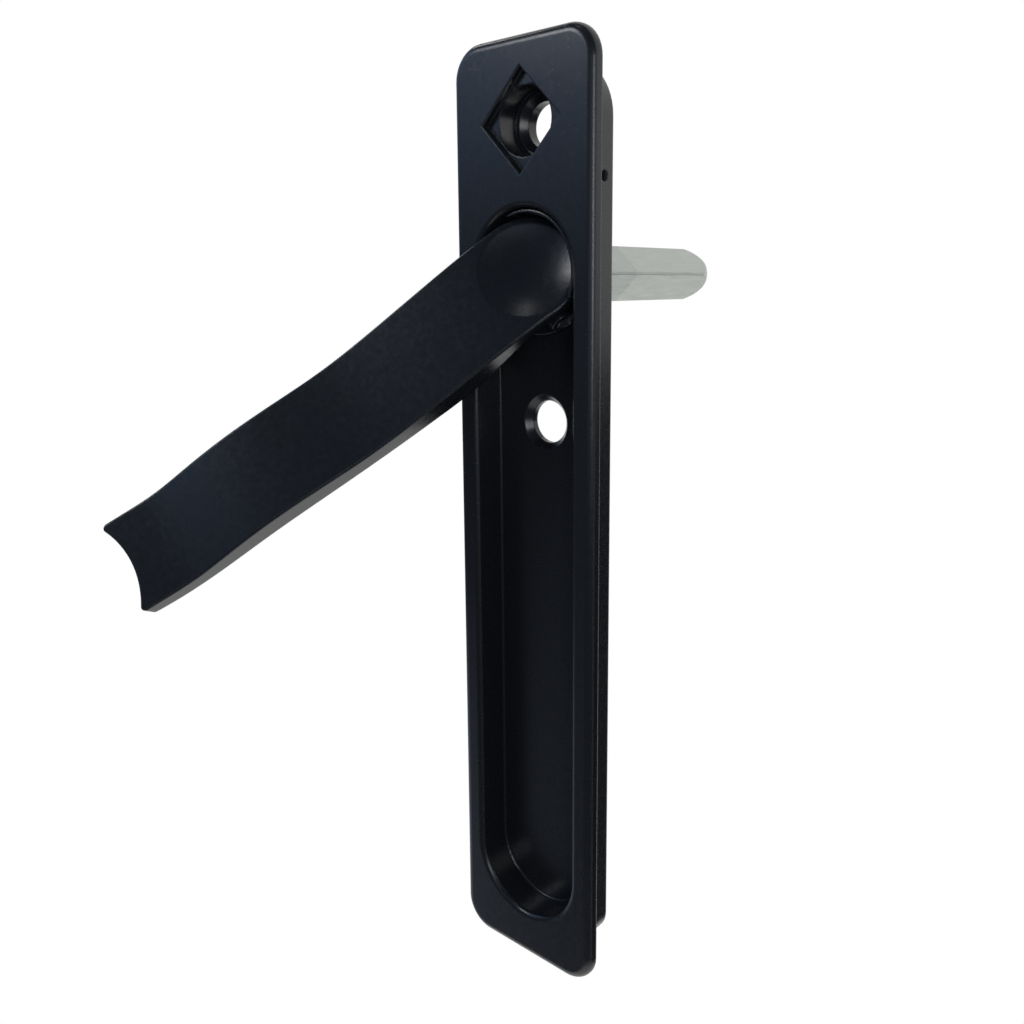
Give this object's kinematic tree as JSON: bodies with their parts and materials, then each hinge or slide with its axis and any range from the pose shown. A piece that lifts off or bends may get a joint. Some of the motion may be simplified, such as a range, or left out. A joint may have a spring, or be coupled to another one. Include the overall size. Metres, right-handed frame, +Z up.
{
  "type": "recessed sash handle",
  "caption": "Slim black recessed handle for a sliding or lifting sash: a dished lever folds out of a long finger pocket and turns a square spindle behind.",
  "frame": {"origin": "where the spindle's axis meets the seating plane, the back of the flange", "axes": "+Y runs back into the sash along the spindle, +Z up along the handle's length, +X right seen from the front"},
  "size_m": [0.0768, 0.1117, 0.1753],
  "materials": {
    "housing_paint": "satin black powder coat on zinc die casting",
    "lever_paint": "satin black powder coat on zinc die casting",
    "hub_paint": "satin black powder coat on zinc die casting",
    "shank_steel": "zinc plated steel bar, dull",
    "spindle_steel": "zinc plated steel bar, fine brushed",
    "plated_steel": "zinc plated",
    "bearing_steel": "polished bearing steel",
    "spring_steel": "oiled spring steel",
    "bush_plastic": "dark acetal"
  },
  "bodies": {
    "base": {"housing": "housing_paint", "hub_bush": "bush_plastic"},
    "turning_hub": {"hub": "hub_paint", "index_ball_left": "bearing_steel", "index_ball_right": "bearing_steel", "index_spring_left": "spring_steel", "index_spring_right": "spring_steel", "spring_washer": "spring_steel", "thrust_washer": "plated_steel", "retaining_ring": "spring_steel", "shank": "shank_steel", "spindle": "spindle_steel", "spindle_stud": "plated_steel", "hinge_pin": "plated_steel", "fold_ball": "bearing_steel", "fold_spring": "spring_steel"},
    "folding_lever": {"lever": "lever_paint", "shim_left": "bush_plastic", "shim_right": "bush_plastic"}
  },
  "joints": [
    {"name": "lever_swing", "type": "hinge", "parent": "base", "child": "turning_hub", "pos_m": [0, 0, 0], "axis": [0, 1, 0], "range_deg": [-45, 45]},
    {"name": "lever_fold", "type": "hinge", "parent": "turning_hub", "child": "folding_lever", "pos_m": [-0.00141, 0.0026, -0.00141], "axis": [-0.7071, 0, 0.7071], "range_deg": [-14, 0]}
  ]
}
